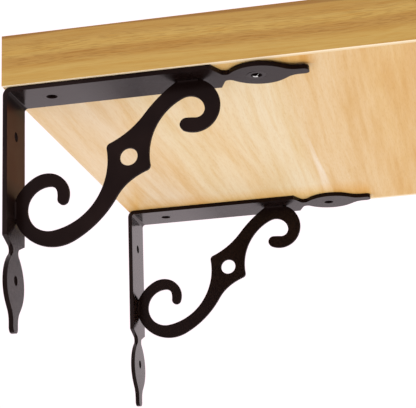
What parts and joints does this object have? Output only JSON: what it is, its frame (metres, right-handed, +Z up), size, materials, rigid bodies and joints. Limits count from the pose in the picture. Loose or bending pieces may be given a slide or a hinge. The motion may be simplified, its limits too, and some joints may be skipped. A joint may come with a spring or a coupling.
{
  "type": "wall shelf",
  "caption": "Small wooden wall shelf with lipped edges, carried by black L-shaped metal brackets, each braced by a scrolled plate with a round hole in the middle.",
  "frame": {"origin": "centre of the four wall-screw holes, on the wall plane", "axes": "+X along the wall to the right as seen from the room, +Y into the wall, +Z up"},
  "size_m": [0.2563, 0.23, 0.1468],
  "materials": {
    "black_coat": "satin black powder coat",
    "black_screw": "black oxide screw",
    "pale_wood": "pale lacquered wood, broad soft grain along the length",
    "golden_wood": "golden brown lacquered wood, fine grain along the edge"
  },
  "bodies": {
    "root": {"left_bracket_strap": "black_coat", "left_bracket_scroll": "black_coat", "left_shelf_arm_weld": "black_coat", "left_wall_arm_weld": "black_coat", "left_rear_shelf_screw": "black_screw", "left_front_shelf_screw": "black_screw", "right_bracket_strap": "black_coat", "right_bracket_scroll": "black_coat", "right_shelf_arm_weld": "black_coat", "right_wall_arm_weld": "black_coat", "right_rear_shelf_screw": "black_screw", "right_front_shelf_screw": "black_screw", "shelf_panel": "pale_wood", "left_end_lipping": "golden_wood", "right_end_lipping": "golden_wood", "front_lipping": "golden_wood"}
  },
  "joints": []
}
